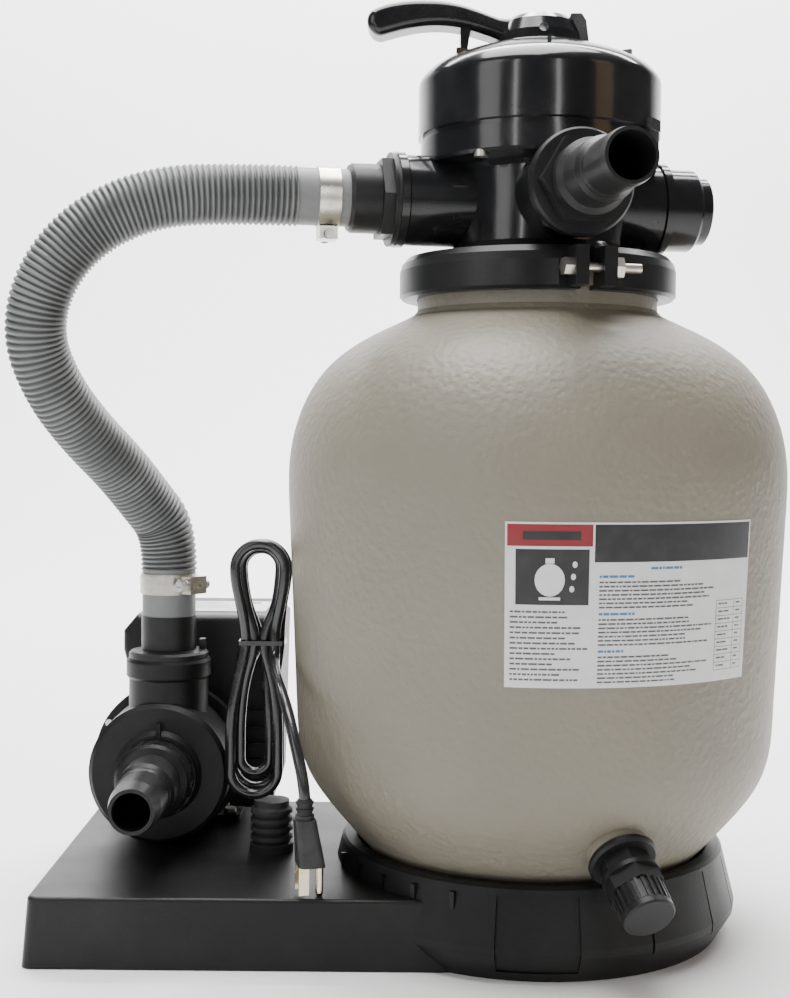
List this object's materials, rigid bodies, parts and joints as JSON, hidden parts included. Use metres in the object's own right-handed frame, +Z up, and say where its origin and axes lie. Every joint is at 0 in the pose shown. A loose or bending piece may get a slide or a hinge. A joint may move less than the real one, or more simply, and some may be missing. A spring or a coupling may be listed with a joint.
{
  "type": "pool sand filter with pump",
  "caption": "Small pool sand filter: clamped tank with a multi-way lever valve, corrugated hose and pump on one moulded base, with its mains lead.",
  "frame": {"origin": "on the floor on the tank's vertical axis, at the underside of the base's rib cross", "axes": "+Z up along the tank; the pump stands at -X; the drain and the return port face the front, -Y"},
  "size_m": [0.5076, 0.3837, 0.614],
  "materials": {
    "base": "semi-matte moulded",
    "tank": "fine orange-peel",
    "valve": "gloss moulded",
    "pump": "semi-matte moulded",
    "fitting": "semi-matte moulded",
    "hose": "corrugated, satin",
    "clamp_steel": "rolled band",
    "bolt_zinc": "zinc plated",
    "spring_steel": "drawn wire",
    "rubber": "matte",
    "label": "printed film",
    "lead": "gloss sheath",
    "plug": "satin moulded",
    "plug_metal": "polished",
    "white_plastic": "plain moulded",
    "sand": "graded grains",
    "core_steel": "stacked laminations",
    "winding_copper": "enamelled wire"
  },
  "bodies": {
    "frame": {"back_plate": "pump", "base": "base", "bearings": "spring_steel", "clamp_bolts": "bolt_zinc", "clamp_half_left": "valve", "clamp_half_right": "valve", "clamp_nuts": "bolt_zinc", "cord_gland": "fitting", "drain_spigot": "fitting", "drain_strainer": "white_plastic", "fan_grille": "pump", "fitting_washers": "rubber", "hose": "hose", "hose_clamp_screws": "clamp_steel", "hose_clamps": "clamp_steel", "hose_cuffs": "hose", "labels": "label", "lateral_hub": "white_plastic", "laterals": "white_plastic", "lead_hank": "lead", "lead_start": "lead", "lead_tail": "lead", "lead_tie": "lead", "lid_gasket": "rubber", "lid_screws": "bolt_zinc", "motor_cover": "pump", "motor_foot": "pump", "motor_stator": "core_steel", "outlet_adapter": "fitting", "plug_body": "plug", "plug_pins": "plug_metal", "pump_port_adapter": "fitting", "pump_screws": "bolt_zinc", "return_adapter": "fitting", "ribbed_post": "rubber", "run_capacitor": "white_plastic", "sand_bed": "sand", "shaft_seal": "rubber", "spider_gasket": "rubber", "standpipe": "white_plastic", "stator_windings": "winding_copper", "suction_adapter": "fitting", "tank_gasket": "rubber", "tank_shell": "tank", "valve_body": "valve", "valve_lid": "valve", "volute": "pump", "volute_gasket": "rubber"},
    "dial": {"cam_washer": "white_plastic"},
    "rotor": {"rotor": "white_plastic", "shaft_rings": "rubber", "handle_pin": "spring_steel", "rotor_spring": "spring_steel"},
    "lever": {"handle": "valve"},
    "pump_rotor": {"motor_shaft": "spring_steel", "impeller": "white_plastic", "motor_rotor": "core_steel", "cooling_fan": "white_plastic"},
    "drain_washer": {"drain_cap_seal": "rubber"},
    "cap": {"drain_cap": "fitting"}
  },
  "joints": [
    {"name": "rotor_turn", "type": "hinge", "parent": "frame", "child": "dial", "pos_m": [0, 0, 0.584], "axis": [0, 0, 1], "continuous": true},
    {"name": "rotor_lift", "type": "slide", "parent": "dial", "child": "rotor", "axis": [0, 0, 1], "range_m": [0, 0.005], "stiffness_N_per_m": 8000, "springref_m": -0.01, "deforming": ["rotor_spring"]},
    {"name": "handle_tilt", "type": "hinge", "parent": "rotor", "child": "lever", "pos_m": [0, 0, 0.592], "axis": [0, -1, 0], "range_deg": [0, 5.25]},
    {"name": "pump_spin", "type": "hinge", "parent": "frame", "child": "pump_rotor", "pos_m": [-0.254, 0, 0.094], "axis": [0, 1, 0], "continuous": true},
    {"name": "drain_travel", "type": "slide", "parent": "frame", "child": "drain_washer", "axis": [0.2452, -0.802, -0.5446], "range_m": [0, 0.0182]},
    {"name": "drain_cap_turn", "type": "hinge", "parent": "drain_washer", "child": "cap", "pos_m": [0.04035, -0.13197, 0.081], "axis": [0.2452, -0.802, -0.5446], "range_deg": [0, 2160]}
  ],
  "couplings": [
    {"joint": "handle_tilt", "follows": "rotor_lift", "rad_per_m": 18.182},
    {"joint": "drain_travel", "follows": "drain_cap_turn", "m_per_rad": 0.00047746}
  ]
}
